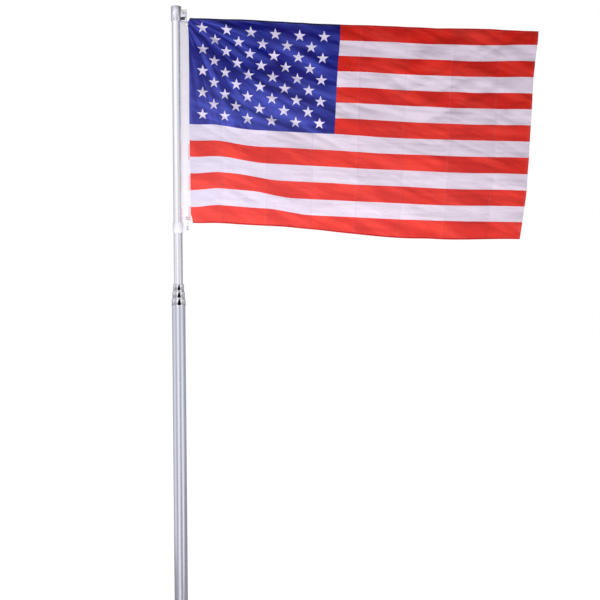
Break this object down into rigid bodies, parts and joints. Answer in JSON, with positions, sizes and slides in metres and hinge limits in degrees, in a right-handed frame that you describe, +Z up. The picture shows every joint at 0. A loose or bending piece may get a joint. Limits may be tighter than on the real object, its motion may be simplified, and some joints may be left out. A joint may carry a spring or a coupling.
{
  "type": "telescoping flagpole",
  "caption": "Telescoping aluminium flagpole with twist-lock collars and a swivelling truck that flies a printed flag on snap hooks.",
  "frame": {"origin": "middle of the pole's foot face, where it stands on the bottom of its ground socket", "axes": "+Z up along the pole, +X the way the flag flies, -Y the side that the flag is seen from"},
  "size_m": [1.5726, 0.0596, 2.8793],
  "materials": {
    "aluminium": "satin drawn",
    "polished_collar": "polished",
    "truck_alloy": "satin cast",
    "zinc": "bright plated",
    "white_nylon": "moulded",
    "black_plastic": "moulded",
    "brass": "worn satin",
    "header_canvas": "woven canvas",
    "printed_polyester": "printed satin weave"
  },
  "bodies": {
    "bottom_section": {"bottom_tube": "aluminium", "foot_plug": "black_plastic"},
    "lower_collar_body": {"lower_collar": "polished_collar"},
    "lower_middle_section": {"lower_middle_tube": "aluminium", "lower_middle_guide": "black_plastic"},
    "middle_collar_body": {"middle_collar": "polished_collar"},
    "upper_middle_section": {"upper_middle_tube": "aluminium", "upper_middle_guide": "black_plastic"},
    "upper_collar_body": {"upper_collar": "polished_collar"},
    "top_section": {"top_tube": "aluminium", "top_guide": "black_plastic", "top_plug": "black_plastic"},
    "flag_swivel": {"truck_cap": "truck_alloy", "truck_screw": "zinc", "truck_bracket": "truck_alloy", "bracket_stop": "black_plastic", "snap_pins": "zinc", "snap_hooks": "white_nylon", "snap_gates": "white_nylon", "grommets": "brass", "header_band": "header_canvas", "flag_cloth": "printed_polyester", "lower_ring": "white_nylon"}
  },
  "joints": [
    {"name": "lower_collar_twist", "type": "hinge", "parent": "bottom_section", "child": "lower_collar_body", "pos_m": [0, 0, 1.617], "axis": [0, 0, 1], "range_deg": [0, 120]},
    {"name": "lower_middle_slide", "type": "slide", "parent": "bottom_section", "child": "lower_middle_section", "axis": [0, 0, 1], "range_m": [0, 1.45]},
    {"name": "middle_collar_twist", "type": "hinge", "parent": "lower_middle_section", "child": "middle_collar_body", "pos_m": [0, 0, 1.648], "axis": [0, 0, 1], "range_deg": [0, 120]},
    {"name": "upper_middle_slide", "type": "slide", "parent": "lower_middle_section", "child": "upper_middle_section", "axis": [0, 0, 1], "range_m": [0, 1.45]},
    {"name": "upper_collar_twist", "type": "hinge", "parent": "upper_middle_section", "child": "upper_collar_body", "pos_m": [0, 0, 1.68], "axis": [0, 0, 1], "range_deg": [0, 120]},
    {"name": "top_slide", "type": "slide", "parent": "upper_middle_section", "child": "top_section", "axis": [0, 0, 1], "range_m": [-0.215, 0.27]},
    {"name": "flag_turn", "type": "hinge", "parent": "top_section", "child": "flag_swivel", "pos_m": [0, 0, 2.85], "axis": [0, 0, 1], "continuous": true}
  ]
}
